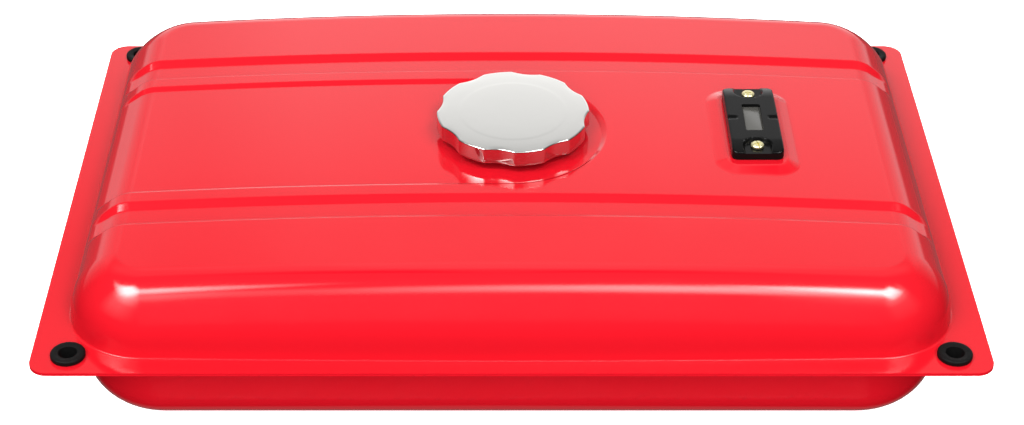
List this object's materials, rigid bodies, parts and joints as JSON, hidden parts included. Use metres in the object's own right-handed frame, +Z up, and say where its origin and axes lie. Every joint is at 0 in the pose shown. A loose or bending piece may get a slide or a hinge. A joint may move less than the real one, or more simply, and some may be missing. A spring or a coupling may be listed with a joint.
{
  "type": "fuel tank",
  "caption": "Pressed steel fuel tank with a mounting flange, rubber grommets, a bayonet filler cap and a float gauge.",
  "frame": {"origin": "centre of the tank on the flat bottom of the lower pan", "axes": "+X along the tank towards the gauge, +Y to the rear, +Z up through the filler cap"},
  "size_m": [0.6, 0.4, 0.1313],
  "materials": {
    "red_paint": "gloss",
    "black_rubber": "matte",
    "black_plastic": "gloss",
    "clear_lens": "frosted",
    "chrome": "polished",
    "zinc_steel": "satin",
    "spring_steel": "bright",
    "yellow_zinc": "bright",
    "nylon": "satin",
    "foam": "matte"
  },
  "bodies": {
    "root": {"upper_shell": "red_paint", "lower_shell": "red_paint", "grommet_front_left": "black_rubber", "grommet_front_right": "black_rubber", "grommet_rear_left": "black_rubber", "grommet_rear_right": "black_rubber", "filler_neck": "zinc_steel", "strainer_basket": "nylon", "gauge_housing": "black_plastic", "gauge_lens": "clear_lens", "gauge_gasket": "black_rubber", "gauge_frame": "zinc_steel", "gauge_pivot_pin": "spring_steel", "gauge_screw_front": "yellow_zinc", "gauge_screw_rear": "yellow_zinc", "weld_nut_front": "zinc_steel", "weld_nut_rear": "zinc_steel", "outlet_bung": "zinc_steel"},
    "cap_seal": {"cap_gasket": "black_rubber", "cap_pressure_plate": "zinc_steel"},
    "cap": {"cap_shell": "chrome", "cap_spring": "spring_steel", "cap_vent_disc": "foam", "cap_rivet": "zinc_steel", "cap_lock_plate": "zinc_steel"},
    "float_gear": {"gauge_drum": "nylon", "float_arm": "spring_steel", "float": "foam", "float_clip_inner": "spring_steel", "float_clip_outer": "spring_steel"}
  },
  "joints": [
    {"name": "cap_lift", "type": "slide", "parent": "root", "child": "cap_seal", "axis": [0, 0, 1], "range_m": [0, 0.06]},
    {"name": "cap_turn", "type": "hinge", "parent": "cap_seal", "child": "cap", "pos_m": [0.0026, 0, 0.1219], "axis": [0, 0, 1], "range_deg": [-90, 0]},
    {"name": "float_swing", "type": "hinge", "parent": "root", "child": "float_gear", "pos_m": [0.165, 0.003, 0.10642], "axis": [1, 0, 0], "range_deg": [0, 52]}
  ]
}
